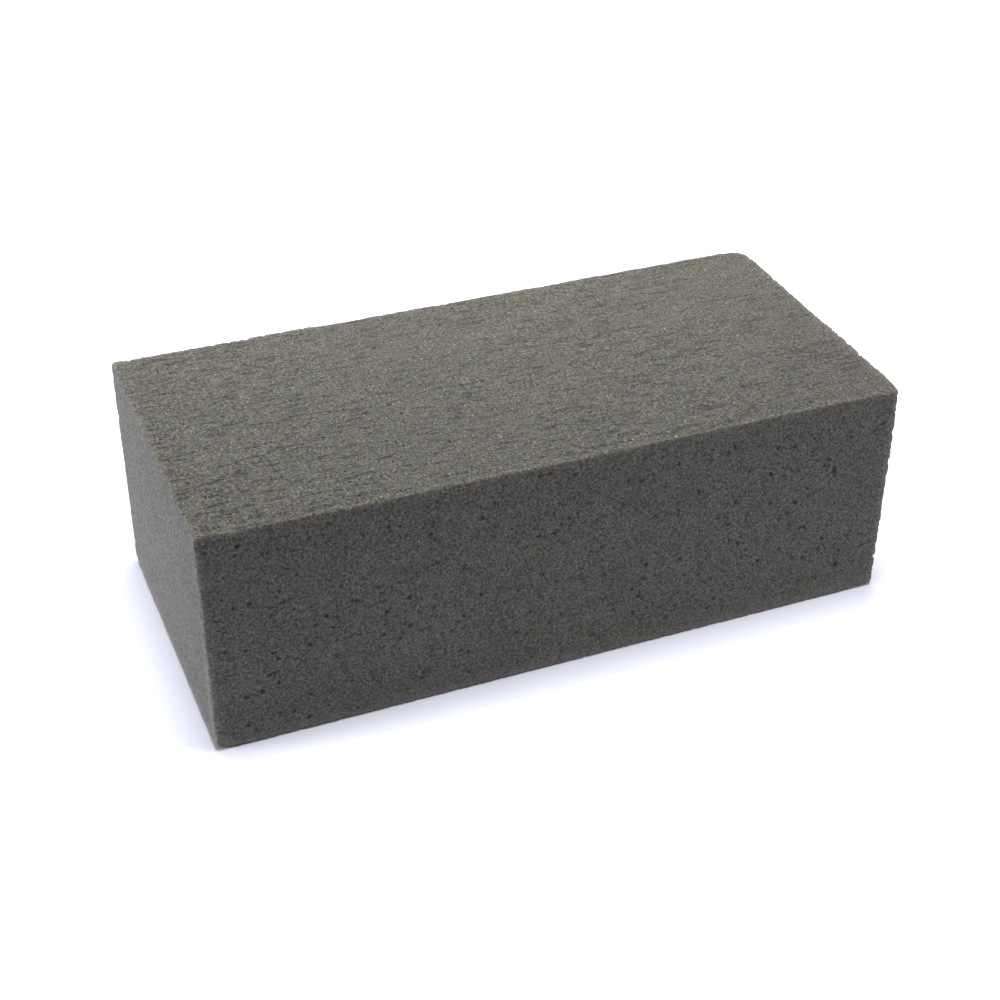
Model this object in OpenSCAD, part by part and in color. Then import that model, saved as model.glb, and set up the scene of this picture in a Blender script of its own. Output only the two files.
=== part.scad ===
// Dry floral foam brick: one rectangular block of rigid cellular foam, cut on all six sides.
// Frame: origin at the centre of the underside, +Z up, +X along the brick's length.

/* [Block] */
// Length of the brick, along X
block_length = 230; // [150:1:300]
// Width of the brick, along Y
block_width = 107; // [80:1:150]
// Height of the brick, along Z
block_height = 79; // [50:1:120]

/* [Edges] */
// Radius that handling has worn onto every edge
edge_radius = 1.5; // [0.5:0.1:4]

/* [Hidden] */
foam_colour = [0.46, 0.45, 0.42];
$fn = 64;

// A rectangle centred on the origin, its four corners rounded.
module worn_rectangle(width, depth) {
    inner_width = width - 2 * edge_radius;
    inner_depth = depth - 2 * edge_radius;
    square([width, inner_depth], center = true);
    square([inner_width, depth], center = true);
    for (side = [-1, 1], end = [-1, 1])
        translate([side * inner_width / 2, end * inner_depth / 2])
            circle(r = edge_radius);
}

// A bar through the origin along Z, with the four long edges rounded.
module worn_bar(width, depth, length) {
    linear_extrude(height = length, center = true)
        worn_rectangle(width, depth);
}

// The block is what three crossing bars share, so every edge is round and every corner is worn on three sides.
module foam_block() {
    color(foam_colour)
        translate([0, 0, block_height / 2])
            intersection() {
                worn_bar(block_length, block_width, block_height);
                rotate([90, 0, 0])
                    worn_bar(block_length, block_height, block_width);
                rotate([0, 90, 0])
                    worn_bar(block_height, block_width, block_length);
            }
}

foam_block();
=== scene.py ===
"""A dry floral foam brick: one block of rigid, fine-celled foam, lying on a white table.

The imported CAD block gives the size. This script builds the foam's real surface inside it: worn,
crumbling edges, rows left by the saw, open cells and larger pits. Lengths are in metres.
"""

import math

import bmesh
import bpy
import numpy as np
from mathutils import Matrix, Vector


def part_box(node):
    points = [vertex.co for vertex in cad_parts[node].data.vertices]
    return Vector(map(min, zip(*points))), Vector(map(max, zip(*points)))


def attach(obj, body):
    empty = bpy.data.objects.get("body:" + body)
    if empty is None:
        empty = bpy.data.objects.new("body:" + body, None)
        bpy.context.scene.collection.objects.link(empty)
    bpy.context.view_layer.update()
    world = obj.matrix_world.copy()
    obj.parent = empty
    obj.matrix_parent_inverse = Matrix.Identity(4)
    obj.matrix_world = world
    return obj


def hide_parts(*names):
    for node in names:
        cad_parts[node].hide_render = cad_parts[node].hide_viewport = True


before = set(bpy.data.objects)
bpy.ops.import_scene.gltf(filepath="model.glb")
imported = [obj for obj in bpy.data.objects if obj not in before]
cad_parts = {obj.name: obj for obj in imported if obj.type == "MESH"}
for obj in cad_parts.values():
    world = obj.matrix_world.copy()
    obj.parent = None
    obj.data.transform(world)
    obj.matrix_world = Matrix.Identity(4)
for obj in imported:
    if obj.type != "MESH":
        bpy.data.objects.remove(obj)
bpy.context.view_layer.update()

MM = 0.001
BLOCK_LOW, BLOCK_HIGH = (np.array(corner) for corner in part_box("foam_block"))
HALF = (BLOCK_HIGH - BLOCK_LOW) / 2
CENTRE = (BLOCK_HIGH + BLOCK_LOW) / 2

# ---------------------------------------------------------------- sizes of the foam's surface

FINE_STEP = 0.30 * MM  # grid step near the edges, where the outline crumbles
FACE_STEP = 0.46 * MM  # grid step over the flat faces
RIM = 2.4 * MM  # how far in from an edge the fine steps reach
TRIANGLES = 190_000  # what the finished mesh is brought down to

# Handling has rounded every edge, some stretches more than others.
EDGE_RADIUS = 0.6 * MM  # where an edge is least worn, before the shares below
EDGE_WEAR = 1.0 * MM  # how much rounder the most worn stretches are
WEAR_STRETCH = 22 * MM  # the length of such a stretch
WEAR_RIPPLE = 7 * MM  # and of the smaller changes along it

LEFT_CORNER_WEAR = 0.1 * MM  # how much rounder still the upper corners are: both at the left end,
FRONT_CORNER_WEAR = 0.9 * MM  # then the front and back ones at the right end
BACK_CORNER_WEAR = 3.2 * MM
FOOT_CORNER_WEAR = 1.4 * MM  # and the lower ones
CORNER_REACH = 6 * MM

# The foot is the lowest part of the block. Its edges are crisper, but not the one under the left end.
FOOT_HEIGHT = 4 * MM
FOOT_CRISPNESS = 0.5  # how much less rounded the foot's edges are
LEFT_END_REACH = 3 * MM
LEFT_FOOT_WEAR = 1.0 * MM  # how much rounder the front part of the left end's lower edge is
LEFT_FOOT_BACK = 0.7  # where that part ends, as a share of the half width behind the middle

CRUMBLE_DEPTH = 0.9 * MM  # crumbs lost from an edge
CRUMBLE_REACH = 1.4 * MM  # how far over the faces that loss reaches, at the least
CRUMBLE_SPREAD = 1.2  # that reach over a well rounded edge, as a share of its radius
CRUMBLE_LIMIT = 0.6  # the most that is lost, as a share of the edge's radius
CRUMB_SIZE = 0.9 * MM
CRUMB_CLUMP = 2.6 * MM

# The edge between top and front is crisp, and towards the right it has sunk a little.
CREST_SHARE = 0.55  # its radius, as a share of the other edges'
CREST_CRISP_REACH = 6 * MM
CREST_SINK = 0.6 * MM
CREST_REACH = 3.0 * MM

# Along that edge and the front's left edge less crumbles away.
FIRM_REACH = 8 * MM
FIRM_SHARE = 0.7

LUMP_DEPTH = 0.09 * MM  # soft unevenness of every face
LUMP_SIZE = 3.3 * MM
LUMP_RIPPLE = 1.5 * MM
ROW_DEPTH = 0.28 * MM  # rows that the saw tore in the top and underside
ROW_LENGTH = 9 * MM
ROW_PITCH = 2.0 * MM
UNDERSIDE_SHARE = 0.6  # how deep all marks are in the underside, as a share of the top's

# The back edge of the top has lost a strip: from here to the right end it lies deeper.
CHIP_START = -46 * MM
CHIP_FADE = 1.5 * MM
CHIP_DEPTH = 0.5 * MM

# The open bubbles on the ends, on the front and back, and on the top and underside: the side of the
# square that holds one on average, the smallest and the largest half width, the most that length can
# be for the width, and the spread of the turn in radians.
FACE_PITS = (
    (8.0 * MM, 0.25 * MM, 0.50 * MM, 1.5, 1.5),
    (3.0 * MM, 0.30 * MM, 0.70 * MM, 1.6, 1.5),
    (4.2 * MM, 0.25 * MM, 0.60 * MM, 2.5, 0.12),
)
PIT_MARGIN = 1.0 * MM  # nearer to an edge than this there are none
PIT_FADE = 2 * MM  # and over this width they grow to their full depth
PIT_SHADE_DEPTH = 0.8 * MM  # a pit this deep gets the most painted shade

# The front's largest pits lie in loose groups. For each: its middle, as shares of the half length and
# the half height from the face's own middle, and how many pits it has.
PIT_GROUPS = ((-0.7, 0.0, 11), (0.75, 0.1, 6))
GROUP_SPREAD = 14 * MM
GROUP_HALF_WIDTH = (0.35, 0.8)  # mm, least and most
GROUP_STRETCH = (1.0, 2.2)  # length for the width, least and most

# Where the material is painted paler. At every edge this is partly broken cell walls and partly
# painted highlight; the rest is painted light, as marked below.
PALE_REACH = 1.6 * MM  # over every edge: partly wear, partly painted highlight
RIM_GLOW_REACH = 1.8 * MM  # painted highlight over the outlines of the back and of the right end
RIM_GLOW = 2.5
UPRIGHT_REACH = 2.4 * MM  # painted highlight over the upright edge between the front and the left end
UPRIGHT_GLOW = (1.6, 0.4)  # at its foot and at its top
FOOT_GLOW = 2.0  # painted light from the table, low on every side, up to about this height
FOOT_GLOW_HEIGHT = 5 * MM
TABLE_GLOW = 1.3  # and more painted light still right at the table
TABLE_GLOW_HEIGHT = 1.5 * MM

# The saw's cut slopes: how far the top lies below the block's nominal height.
TOP_DROP_LEFT = 0.0 * MM
TOP_DROP_RIGHT = 1.3 * MM


# ---------------------------------------------------------------- noise


def smooth_noise(points, lump, seed):
    """Smooth random values from -1 to 1. lump is a swell's size, one number or one for each axis."""
    grid = (points - BLOCK_LOW + 5 * MM) / lump
    cell = np.floor(grid).astype(int)
    part = grid - cell
    part = part**3 * (part * (part * 6 - 15) + 10)
    table = np.random.default_rng(seed).uniform(-1, 1, cell.max(0) + 2)
    value = 0.0
    for corner in np.ndindex(2, 2, 2):
        share = np.prod(np.where(corner, part, 1 - part), axis=1)
        value = value + share * table[tuple((cell + corner).T)]
    return value


# ---------------------------------------------------------------- the block's mesh


def grid_lines(half):
    """Lines from -half to half, close together within RIM of both ends."""
    rim_steps = round(RIM / FINE_STEP)
    face_steps = round(2 * (half - RIM) / FACE_STEP)
    low = np.linspace(-half, RIM - half, rim_steps, endpoint=False)
    middle = np.linspace(RIM - half, half - RIM, face_steps, endpoint=False)
    high = np.linspace(half - RIM, half, rim_steps + 1)
    return np.concatenate([low, middle, high])


def closed_grid(lines):
    """A closed box of grid lines: its corner points, and its quads turned outwards."""
    counts = tuple(len(line) for line in lines)
    sides = []
    for axis in range(3):
        across, along = (axis + 1) % 3, (axis + 2) % 3
        for end in (0, counts[axis] - 1):
            index = np.zeros((3, counts[across], counts[along]), int)
            index[axis] = end
            index[across] = np.arange(counts[across])[:, None]
            index[along] = np.arange(counts[along])[None, :]
            name = np.ravel_multi_index(tuple(index), counts)
            ring = [name[:-1, :-1], name[1:, :-1], name[1:, 1:], name[:-1, 1:]]
            ring = ring if end else ring[::-1]
            sides.append(np.stack(ring, axis=-1).reshape(-1, 4))
    used, quads = np.unique(np.concatenate(sides), return_inverse=True)
    places = np.unravel_index(used, counts)
    points = np.stack([line[place] for line, place in zip(lines, places)], axis=1)
    return points, quads.reshape(-1, 4)


def falloff(distance, reach):
    """1 at distance 0, falling smoothly to about a third at reach and on to 0."""
    return np.exp(-((distance / reach) ** 2))


def crest_share(points, reach):
    """1 along the edge between top and front, falling to about a third at reach and on to 0."""
    from_front = (points[:, 1] + HALF[1]) / reach
    from_top = (HALF[2] - points[:, 2]) / reach
    return np.exp(-(from_front**2) - from_top**2)


def round_edges(points):
    """The box's points with worn, rounded edges, and the outward direction and edge radius at each."""
    wear = smooth_noise(points, WEAR_STRETCH, seed=1) * 0.6
    wear = wear + smooth_noise(points, WEAR_RIPPLE, seed=2) * 0.4
    radius = EDGE_RADIUS + EDGE_WEAR * np.clip(wear + 0.5, 0, 1)

    foot = np.interp(points[:, 2], [-HALF[2], FOOT_HEIGHT - HALF[2]], [1.0, 0.0])
    left_end = falloff(points[:, 0] + HALF[0], LEFT_END_REACH)
    radius *= 1 - FOOT_CRISPNESS * foot * (1 - left_end)
    radius *= 1 - (1 - CREST_SHARE) * crest_share(points, CREST_CRISP_REACH)
    towards_front = np.clip(LEFT_FOOT_BACK - points[:, 1] / HALF[1], 0, 1)
    radius += LEFT_FOOT_WEAR * foot * left_end * towards_front

    ends = [FRONT_CORNER_WEAR, BACK_CORNER_WEAR]
    corner_wear = np.interp(points[:, 1], [-HALF[1], HALF[1]], ends)
    corner_wear[points[:, 0] < 0] = LEFT_CORNER_WEAR
    corner_wear += (FOOT_CORNER_WEAR - corner_wear) * foot
    from_corner = (HALF - np.abs(points)).sum(axis=1)
    radius = (radius + corner_wear * falloff(from_corner, CORNER_REACH))[:, None]

    core = np.clip(points, radius - HALF, HALF - radius)
    outward = points - core
    outward /= np.linalg.norm(outward, axis=1, keepdims=True)
    return core + outward * radius, outward, radius[:, 0]


def edge_distance(points):
    """How far each point of the box's surface is from the nearest edge."""
    return np.sort(HALF - np.abs(points), axis=1)[:, 1]


def dig(depth, points, on_face, pits):
    """Deepens depth at the pits of one face.

    A pit is (centre, (radius along, radius across), turn, depth).
    """
    order = np.argsort(points[on_face][:, 0], kind="stable")
    flat = points[on_face][order]
    number = np.flatnonzero(on_face)[order]
    for centre, (along, across), turn, deep in pits:
        reach = max(along, across)
        first, last = np.searchsorted(flat[:, 0], [centre[0] - reach, centre[0] + reach])
        near = flat[first:last] - centre
        u = (near[:, 0] * math.cos(turn) + near[:, 1] * math.sin(turn)) / along
        v = (near[:, 1] * math.cos(turn) - near[:, 0] * math.sin(turn)) / across
        bowl = np.clip(1 - u * u - v * v, 0, None)
        who = number[first:last]
        depth[who] = np.maximum(depth[who], deep * np.sqrt(bowl))


def random_pits(rng, size, spacing, smallest, largest, stretch, turn_spread):
    """Pits over one face, one to each square of side spacing on average. stretch lengthens some."""
    count = int(size[0] * size[1] / spacing**2)
    centres = (rng.random((count, 2)) - 0.5) * size
    radii = smallest + (largest - smallest) * rng.random(count) ** 3  # many small, a few large
    lengths = radii * (1 + (stretch - 1) * rng.random(count) ** 2)
    turns = rng.normal(0, turn_spread, count)
    depths = radii * rng.uniform(0.6, 1.1, count)
    return list(zip(centres, zip(lengths, radii), turns, depths))


def grouped_pits(rng, size):
    """The front's largest pits, strewn at random about the middles of their groups."""
    pits = []
    for along, up, count in PIT_GROUPS:
        centres = np.array([along, up]) * size / 2 + rng.normal(0, GROUP_SPREAD, (count, 2))
        widths = rng.uniform(*GROUP_HALF_WIDTH, count) * MM
        lengths = widths * rng.uniform(*GROUP_STRETCH, count)
        turns = rng.uniform(0, math.pi / 2, count)
        depths = 0.45 * MM + 0.5 * widths
        pits += zip(centres, zip(lengths, widths), turns, depths)
    return pits


def pit_depths(points, outward):
    """How deep the foam's larger open bubbles reach below each point."""
    depth = np.zeros(len(points))
    for axis in range(3):
        across = [a for a in range(3) if a != axis]
        for sign in (-1, 1):
            rng = np.random.default_rng(10 * axis + sign + 5)
            on_face = outward[:, axis] * sign > 0.6
            size = 2 * HALF[across]
            pits = random_pits(rng, size, *FACE_PITS[axis])
            if axis == 1 and sign == -1:
                pits += grouped_pits(np.random.default_rng(40), size)
            dig(depth, points[:, across], on_face, pits)
    return depth


def crumbled(points, rim, radius, crumbs, firm):
    """How deep crumbs and the chipped strip have taken the edges down at each point."""
    chipped = np.clip((points[:, 1:] - HALF[1:]) / RIM + 2, 0, 1).min(axis=1)
    chipped = chipped * np.clip((points[:, 0] - CHIP_START) / CHIP_FADE, 0, 1)
    loss = CRUMBLE_DEPTH * np.clip(crumbs + 0.1, 0, 1) * (1 - FIRM_SHARE * firm) + CHIP_DEPTH * chipped
    reach = np.maximum(CRUMBLE_REACH, CRUMBLE_SPREAD * radius)
    return np.minimum(loss, CRUMBLE_LIMIT * radius) * falloff(rim, reach)


def paleness(points, outward, rim, crumbs):
    """How much paler the foam is painted at each point: at its edges partly for wear and partly as
    painted highlight, over some outlines as painted highlight, and most of all at its foot as painted
    light from the table.
    """
    above = points[:, 2] + HALF[2]
    # paler edges: partly broken cell walls, partly painted highlight on the rims
    worn = falloff(rim, PALE_REACH) * np.clip(0.9 + crumbs * 0.6, 0, 1.4)
    # painted highlight along the outlines of the back and the right end
    rim_glow = falloff(HALF[:2] - points[:, :2], RIM_GLOW_REACH) * (1 - np.abs(outward[:, :2]))
    worn += RIM_GLOW * rim_glow.max(axis=1)
    # painted light from the table: the sides paler low down, most of all right at the table
    foot = FOOT_GLOW * falloff(above, FOOT_GLOW_HEIGHT)
    foot = foot + TABLE_GLOW * falloff(above, TABLE_GLOW_HEIGHT)
    foot *= 1 - np.abs(outward[:, 2])
    # painted highlight along the upright edge between the front and the left end
    upright = np.exp(-(((points[:, :2] + HALF[:2]) / UPRIGHT_REACH) ** 2).sum(axis=1))
    worn += foot + upright * np.interp(above, [0, 2 * HALF[2]], UPRIGHT_GLOW)
    return worn


def shape_foam():
    """The finished surface as numbers: points, quads, and what the material reads at each point."""
    points, quads = closed_grid([grid_lines(half) for half in HALF])
    rim = edge_distance(points)
    crest = crest_share(points, CREST_REACH)
    firm = crest_share(points, FIRM_REACH)
    from_upright = (points[:, :2] + HALF[:2]) / FIRM_REACH
    firm = np.maximum(firm, np.exp(-(from_upright**2).sum(axis=1)))
    points, outward, radius = round_edges(points)
    flat_share = np.abs(outward[:, 2])

    lumps = smooth_noise(points, LUMP_SIZE, seed=3) * 0.6
    lumps = lumps + smooth_noise(points, LUMP_RIPPLE, seed=4) * 0.6
    row = np.array([ROW_LENGTH, ROW_PITCH, ROW_PITCH])
    rows = smooth_noise(points, row, seed=5)
    rows += smooth_noise(points, row / [3, 2, 2], seed=6) * 0.6
    crumbs = smooth_noise(points, CRUMB_SIZE, seed=7) * 1.1
    crumbs = crumbs + smooth_noise(points, CRUMB_CLUMP, seed=8) * 0.5
    pits = pit_depths(points, outward) * np.clip((rim - PIT_MARGIN) / PIT_FADE, 0, 1)

    # paler edges and foot: partly wear, the rest painted highlight and painted light from the table
    worn = paleness(points, outward, rim, crumbs)
    # marks for the material: painted shade in the pits, and the paler edges and foot
    marks = {"pit_shade": np.clip(pits / PIT_SHADE_DEPTH, 0, 1), "worn": worn}

    depth = LUMP_DEPTH * (1 + lumps)
    depth += ROW_DEPTH * flat_share * np.clip(-rows - 0.1, 0, 1)
    depth += crumbled(points, rim, radius, crumbs, firm)
    depth += pits
    depth[outward[:, 2] < -0.5] *= UNDERSIDE_SHARE

    points = points - outward * depth[:, None] + CENTRE
    points[:, 2] -= CREST_SINK * crest * np.clip(points[:, 0] / HALF[0] + 1, 0, 1)
    drop = np.interp(points[:, 0], [BLOCK_LOW[0], BLOCK_HIGH[0]], [TOP_DROP_LEFT, TOP_DROP_RIGHT])
    points[:, 2] *= 1 - drop / (BLOCK_HIGH[2] - BLOCK_LOW[2])
    points[:, 2] -= points[:, 2].min()
    return points, quads, outward, marks


def mesh_from(name, points, quads):
    """A mesh of these points and quads."""
    mesh = bpy.data.meshes.new(name)
    mesh.vertices.add(len(points))
    mesh.vertices.foreach_set("co", points.astype(np.float32).ravel())
    mesh.loops.add(quads.size)
    mesh.loops.foreach_set("vertex_index", quads.astype(np.int32).ravel())
    mesh.polygons.add(len(quads))
    mesh.polygons.foreach_set("loop_start", np.arange(0, quads.size, 4, dtype=np.int32))
    mesh.update(calc_edges=True)
    return mesh


def lay_out(mesh):
    """A UV map for textures baked from the material: the six faces side by side, flat and to scale."""
    length, width, height = 2 * HALF
    gap = 3 * MM
    normals = np.zeros(len(mesh.vertices) * 3, np.float32)
    mesh.attributes["side"].data.foreach_get("vector", normals)
    normals = normals.reshape(-1, 3)
    corners = np.zeros(len(mesh.loops), np.int32)
    mesh.loops.foreach_get("vertex_index", corners)
    starts = np.zeros(len(mesh.polygons), np.int32)
    mesh.polygons.foreach_get("loop_start", starts)
    totals = np.diff(np.append(starts, len(corners)))
    facing = np.add.reduceat(normals[corners], starts, axis=0)
    axis = np.abs(facing).argmax(1)
    positive = facing[np.arange(len(axis)), axis] > 0
    side = np.repeat(axis * 2 + positive, totals)

    points = np.zeros(len(mesh.vertices) * 3, np.float32)
    mesh.vertices.foreach_get("co", points)
    local = points.reshape(-1, 3)[corners] - BLOCK_LOW
    rows = np.cumsum([gap, width + gap, width + gap, height + gap, height + gap])
    # side: (first axis, second axis, left, bottom) of its rectangle on the sheet
    places = {
        5: (0, 1, gap, rows[0]),
        4: (0, 1, gap, rows[1]),
        3: (0, 2, gap, rows[2]),
        2: (0, 2, gap, rows[3]),
        1: (2, 1, length + 2 * gap, rows[0]),
        0: (2, 1, length + 2 * gap, rows[1]),
    }
    sheet = np.array([length + height + 3 * gap, rows[4]])
    uv = np.zeros((len(corners), 2))
    for key, (first, second, left, bottom) in places.items():
        chosen = side == key
        uv[chosen, 0] = local[chosen, first] + left
        uv[chosen, 1] = local[chosen, second] + bottom
    layer = mesh.uv_layers.new(name="OFBake")
    layer.data.foreach_set("uv", (uv / sheet).astype(np.float32).ravel())


def keep_inside(mesh):
    """Pulls back into the CAD block the few points that thinning has pushed a hair outside."""
    points = np.zeros(len(mesh.vertices) * 3, np.float32)
    mesh.vertices.foreach_get("co", points)
    inside = np.clip(points.reshape(-1, 3), BLOCK_LOW, BLOCK_HIGH)
    mesh.vertices.foreach_set("co", inside.astype(np.float32).ravel())
    mesh.update()


def make_brick():
    """The brick as one object: the shaped surface, thinned, with its marks and UV map."""
    points, quads, outward, marks = shape_foam()
    mesh = mesh_from("foam_brick", points, quads)
    side = mesh.attributes.new("side", "FLOAT_VECTOR", "POINT")
    side.data.foreach_set("vector", outward.astype(np.float32).ravel())
    for name, values in marks.items():
        mark = mesh.attributes.new(name, "FLOAT", "POINT")
        mark.data.foreach_set("value", values.astype(np.float32))
    brick = bpy.data.objects.new("foam_brick", mesh)
    bpy.context.scene.collection.objects.link(brick)

    thin = brick.modifiers.new("thin", "DECIMATE")
    thin.ratio = TRIANGLES / (2 * len(quads))
    bpy.context.view_layer.update()
    thinned = bpy.data.meshes.new_from_object(
        brick.evaluated_get(bpy.context.evaluated_depsgraph_get())
    )
    brick.modifiers.clear()
    brick.data = thinned
    bpy.data.meshes.remove(mesh)
    thinned.name = "foam_brick"
    thinned.shade_smooth()
    keep_inside(thinned)
    lay_out(thinned)
    return brick


# ---------------------------------------------------------------- material


class Tree:
    """Short calls for building a material's nodes."""

    def __init__(self, name):
        self.material = bpy.data.materials.new(name)
        self.material.use_nodes = True
        self.nodes = self.material.node_tree.nodes
        self.links = self.material.node_tree.links
        self.shader = self.nodes["Principled BSDF"]

    def put(self, socket, value):
        if isinstance(value, bpy.types.NodeSocket):
            self.links.new(value, socket)
        else:
            socket.default_value = value

    def add(self, kind, inputs, **settings):
        node = self.nodes.new("ShaderNode" + kind)
        for name, value in settings.items():
            setattr(node, name, value)
        for name, value in inputs.items():
            self.put(node.inputs[name], value)
        return node

    def math(self, operation, first, second):
        return self.add("Math", {0: first, 1: second}, operation=operation).outputs[0]

    def spread(self, value, low, high, new_low=0.0, new_high=1.0):
        """value from low..high to new_low..new_high, held at both ends."""
        names = ("Value", "From Min", "From Max", "To Min", "To Max")
        inputs = dict(zip(names, (value, low, high, new_low, new_high)))
        return self.add("MapRange", inputs).outputs[0]

    def noise(self, place, size, detail=2.0, roughness=0.5, output="Fac"):
        inputs = {"Vector": place, "Scale": 1 / size, "Detail": detail, "Roughness": roughness}
        return self.add("TexNoise", inputs).outputs[output]

    def stretched(self, place, size):
        inputs = {0: place, 1: tuple(1 / side for side in size)}
        return self.add("VectorMath", inputs, operation="MULTIPLY").outputs[0]

    def spots(self, place, spacing, inner, outer, share):
        """Soft spots of random strength in a share of the cells.

        A spot is full up to inner and gone from outer, both measured in spacings.
        """
        cell = self.add("TexVoronoi", {"Vector": place, "Scale": 1 / spacing})
        chosen = self.add("SeparateColor", {0: cell.outputs["Color"]}).outputs[0]
        spot = self.spread(cell.outputs["Distance"], inner, outer, 1.0, 0.0)
        return self.math("MULTIPLY", spot, self.spread(chosen, 1 - share, 1.0, 0.0, 1.0))

    def scaled(self, colour, factor):
        inputs = {0: colour, "Scale": factor}
        return self.add("VectorMath", inputs, operation="SCALE").outputs[0]


FOAM_COLOUR = (0.0810, 0.0783, 0.0648)
CELL = 0.70 * MM  # across one of the foam's cells
GRAIN = 0.80 * MM  # the size of light and dark specks
PORE_SPACING = 1.5 * MM  # small holes, darkened with painted shade
GLINT_SPACING = 1.2 * MM  # painted glints: highlights on the cell walls
ROW_WIDTH = 1.6 * MM  # of the dark saw rows
PATCH = 16 * MM  # large, faint changes of shade
TINT = 1.2 * MM  # specks of slightly different colour
PORE_DARKNESS = (0.36, 0.72)  # painted shade in the small holes: on the sides, and on the top and underside
GLINT_BRIGHTNESS = (0.6, 2.5)  # likewise
ROW_DARKNESS = (0.41, 0.29)  # at the left end and at the right end
# how much the paler edges and foot add: partly wear, the rest painted highlight and painted light from
# the table
WEAR_AND_GLOW_BRIGHTNESS = 0.25
BUMP_DEPTH = 0.35 * MM


def foam_material():
    """Grey-brown open-celled foam with dark saw rows, painted shade in its cells, small holes and
    pits, painted glints on the cell walls, edges paler partly from wear and partly from painted
    highlight, a foot lit with painted light from the table, and painted light and shade across the
    faces.
    """
    t = Tree("foam")
    place = t.add("TexCoord", {}).outputs["Object"]
    where = t.add("SeparateXYZ", {0: place}).outputs
    along, back = where["X"], where["Y"]
    side = t.add("Attribute", {}, attribute_name="side").outputs["Vector"]
    side = t.add("SeparateXYZ", {0: side}).outputs
    flat = t.math("ABSOLUTE", side["Z"], 0.0)  # 1 on the top and the underside
    upright = t.math("SUBTRACT", 1.0, flat)
    up = t.math("MULTIPLY", where["Z"], upright)  # the height on the sides, one value on the rest
    up = t.math("ADD", up, t.math("MULTIPLY", flat, 0.9 * HALF[2]))
    pit_shade = t.add("Attribute", {}, attribute_name="pit_shade").outputs["Fac"]
    worn = t.add("Attribute", {}, attribute_name="worn").outputs["Fac"]

    # the patterns
    cell = t.add("TexVoronoi", {"Vector": place, "Scale": 1 / CELL}).outputs["Distance"]
    wall = t.spread(cell, 0.12, 0.62)
    grain = t.noise(place, GRAIN, detail=2.0, roughness=0.6)
    pore = t.spots(place, PORE_SPACING, 0.16, 0.34, share=0.60)
    # painted glints: small highlights on the cell walls, strongest on the top
    glint = t.spots(place, GLINT_SPACING, 0.12, 0.26, share=0.60)
    long = t.stretched(place, (ROW_LENGTH, ROW_WIDTH, ROW_WIDTH))
    row = t.math("MULTIPLY", t.spread(t.noise(long, 1.0), 0.34, 0.47, 1.0, 0.0), flat)
    patch = t.noise(place, PATCH)
    tint = t.noise(place, TINT, output="Color")

    # what darkens or lightens by a share
    row_darkness = t.spread(along, -HALF[0], HALF[0], *ROW_DARKNESS)
    pore_darkness = t.spread(flat, 0.0, 1.0, *PORE_DARKNESS)
    shade = t.spread(grain, 0.28, 0.72, 0.38, 1.62)
    for share in (
        # painted shade in the middles of the open cells, painted highlight on their walls
        t.spread(wall, 0.0, 1.0, 0.75, 1.15),
        # painted shade in the small holes
        t.math("SUBTRACT", 1.0, t.math("MULTIPLY", pore, pore_darkness)),
        t.math("SUBTRACT", 1.0, t.math("MULTIPLY", row, row_darkness)),
        t.spread(patch, 0.3, 0.7, 0.96, 1.04),
        # painted light and shade: every face lighter towards the back, the front darkest
        t.spread(back, -HALF[1], HALF[1], 0.91, 1.10),
        # painted light from the table: the sides lighter low down, darker high up
        t.spread(up, 0.0, 2 * HALF[2], 1.05, 0.96),
        # painted shade in the pits
        t.spread(pit_shade, 0.0, 1.0, 1.0, 0.50),
    ):
        shade = t.math("MULTIPLY", shade, share)

    # what adds to the shade: paler edges and foot (partly wear, the rest painted highlight and painted
    # light from the table), painted light towards the back of the top and painted shade towards its
    # left, and painted glints
    # painted light on the top: lighter towards the back, darker towards the left end
    light_towards_back = t.spread(back, -HALF[1], HALF[1], -0.05, 0.10)
    shade_towards_left = t.spread(along, -HALF[0], 0.0, -0.07, 0.0)
    painted_top_light = t.math("ADD", light_towards_back, shade_towards_left)
    glint_brightness = t.spread(flat, 0.0, 1.0, *GLINT_BRIGHTNESS)
    for light in (
        t.math("MULTIPLY", worn, WEAR_AND_GLOW_BRIGHTNESS),
        t.math("MULTIPLY", flat, painted_top_light),
        t.math("MULTIPLY", glint, glint_brightness),
    ):
        shade = t.math("ADD", shade, light)

    tinted = {0: t.scaled(tint, 0.24), 1: (0.88, 0.88, 0.88)}
    tinted = t.add("VectorMath", tinted, operation="ADD").outputs[0]
    colour = t.add("VectorMath", {0: tinted, 1: FOAM_COLOUR}, operation="MULTIPLY").outputs[0]
    t.put(t.shader.inputs["Base Color"], t.scaled(colour, shade))
    t.put(t.shader.inputs["Roughness"], t.spread(grain, 0.3, 0.7, 0.98, 0.82))
    t.shader.inputs["Specular IOR Level"].default_value = 0.25

    height = t.math("ADD", t.math("MULTIPLY", wall, 0.5), grain)
    height = t.math("SUBTRACT", height, t.math("MULTIPLY", row, 0.5))
    bump = t.add("Bump", {"Strength": 0.55, "Distance": BUMP_DEPTH, "Height": height})
    t.put(t.shader.inputs["Normal"], bump.outputs["Normal"])
    return t.material


# ---------------------------------------------------------------- table, light and camera


def table_material():
    t = Tree("table")
    t.shader.inputs["Base Color"].default_value = (0.82, 0.845, 0.92, 1.0)
    t.shader.inputs["Roughness"].default_value = 0.7
    t.shader.inputs["Specular IOR Level"].default_value = 0.1
    return t.material


def make_table(radius):
    """The white table, a plain disc under the brick."""
    mesh = bpy.data.meshes.new("table")
    disc = bmesh.new()
    bmesh.ops.create_circle(disc, cap_ends=True, segments=96, radius=radius)
    disc.to_mesh(mesh)
    disc.free()
    table = bpy.data.objects.new("table", mesh)
    bpy.context.scene.collection.objects.link(table)
    mesh.materials.append(table_material())


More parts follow.
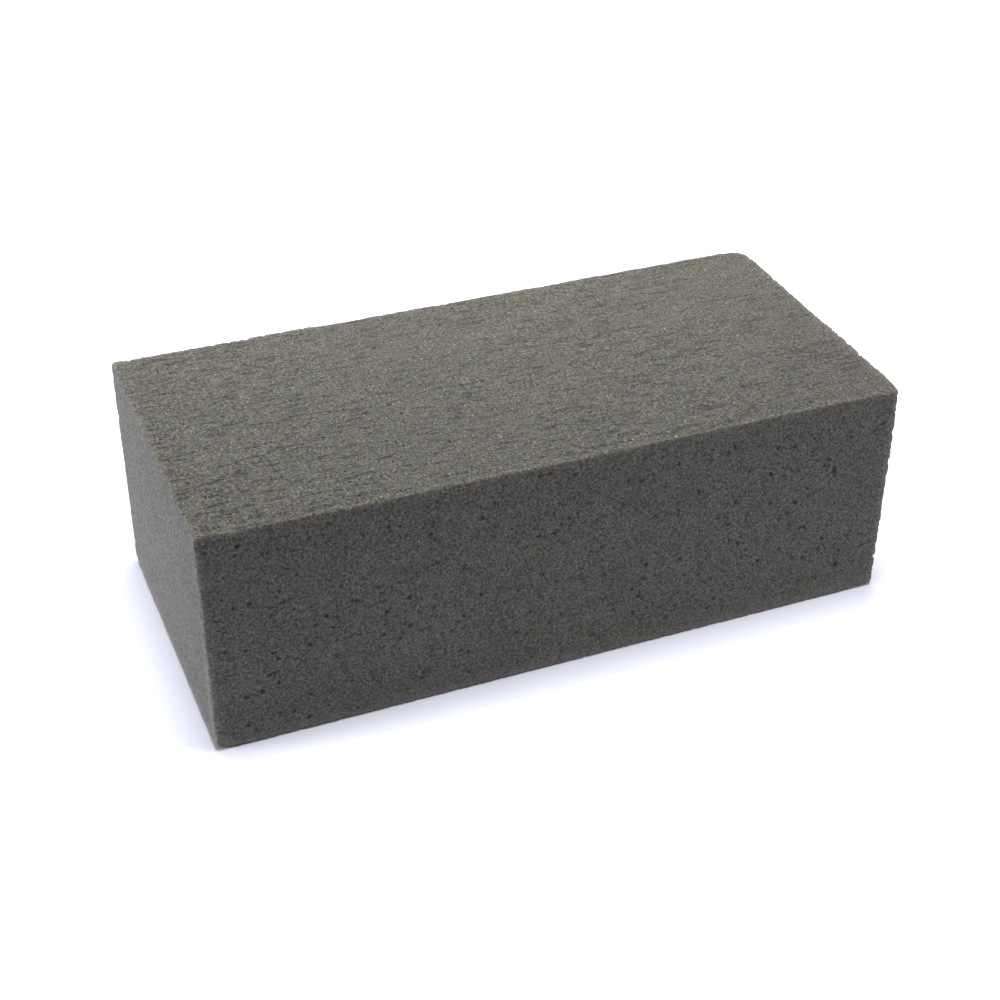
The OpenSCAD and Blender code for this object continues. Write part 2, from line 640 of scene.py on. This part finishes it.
def make_softbox(name, place, size, power, colour):
    """A square soft light at place, turned towards the middle of the brick."""
    light = bpy.data.lights.new(name, "AREA")
    light.shape = "SQUARE"
    light.size = size
    light.energy = power
    light.color = colour
    box = bpy.data.objects.new(name, light)
    bpy.context.scene.collection.objects.link(box)
    box.location = place
    aim = Vector(CENTRE) - Vector(place)
    box.rotation_euler = aim.to_track_quat("-Z", "Y").to_euler()


def make_world(colour, strength):
    """A white backdrop for the camera, and a faint fill light of this colour for everything else."""
    world = bpy.data.worlds.new("studio")
    world.use_nodes = True
    nodes, links = world.node_tree.nodes, world.node_tree.links
    fill = nodes["Background"]
    fill.inputs["Color"].default_value = (*colour, 1.0)
    fill.inputs["Strength"].default_value = strength
    backdrop = nodes.new("ShaderNodeBackground")
    backdrop.inputs["Color"].default_value = (1.0, 1.0, 1.0, 1.0)
    seen = nodes.new("ShaderNodeLightPath")
    mix = nodes.new("ShaderNodeMixShader")
    links.new(seen.outputs["Is Camera Ray"], mix.inputs["Fac"])
    links.new(fill.outputs[0], mix.inputs[1])
    links.new(backdrop.outputs[0], mix.inputs[2])
    links.new(mix.outputs[0], nodes["World Output"].inputs["Surface"])
    bpy.context.scene.world = world


CAMERA_AZIMUTH = -22.22  # degrees round from the front, towards the left end
CAMERA_HEIGHT = 34.21  # degrees above the table
CAMERA_ROLL = 0.30  # degrees
CAMERA_AIM = Vector((-5.73, -12.45, 39.1)) * MM  # the point in the middle of its view
CAMERA_DISTANCE = 604.6 * MM
CAMERA_LENS = 66.75  # focal length in mm
CAMERA_SENSOR = 36  # its width in mm


def make_camera():
    """The camera, turned to CAMERA_AIM from CAMERA_DISTANCE away."""
    lens = bpy.data.cameras.new("camera")
    lens.sensor_width = CAMERA_SENSOR
    lens.lens = CAMERA_LENS
    lens.clip_start = 0.01
    camera = bpy.data.objects.new("camera", lens)
    bpy.context.scene.collection.objects.link(camera)
    round_by, up_by = math.radians(CAMERA_AZIMUTH), math.radians(CAMERA_HEIGHT)
    back = Vector(
        (
            math.sin(round_by) * math.cos(up_by),
            -math.cos(round_by) * math.cos(up_by),
            math.sin(up_by),
        )
    )
    turn = (-back).to_track_quat("-Z", "Y").to_matrix()
    turn = turn @ Matrix.Rotation(math.radians(CAMERA_ROLL), 3, "Z")
    camera.matrix_world = Matrix.LocRotScale(CAMERA_AIM + back * CAMERA_DISTANCE, turn, None)
    bpy.context.scene.camera = camera


# ---------------------------------------------------------------- the scene

brick = make_brick()
brick.data.materials.clear()
brick.data.materials.append(foam_material())
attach(brick, "root")
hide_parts("foam_block")

make_table(radius=0.58)
DAYLIGHT = (0.98, 0.98, 1.0)
make_softbox("overhead", place=(0.0, 0.0, 1.5), size=0.5, power=17.5, colour=DAYLIGHT)
make_softbox("overhead_near", place=(0.0, 0.15, 0.8), size=0.8, power=7.4, colour=DAYLIGHT)
make_softbox("left", place=(-1.2, 0.2, 0.18), size=0.34, power=20, colour=(0.87, 0.85, 1.0))
make_softbox("right", place=(0.5, -0.4, 0.4), size=0.3, power=2.15, colour=(0.96, 0.90, 1.0))
make_world(colour=(0.85, 0.92, 1.0), strength=0.01)
make_camera()
bpy.context.scene.view_settings.view_transform = "Standard"
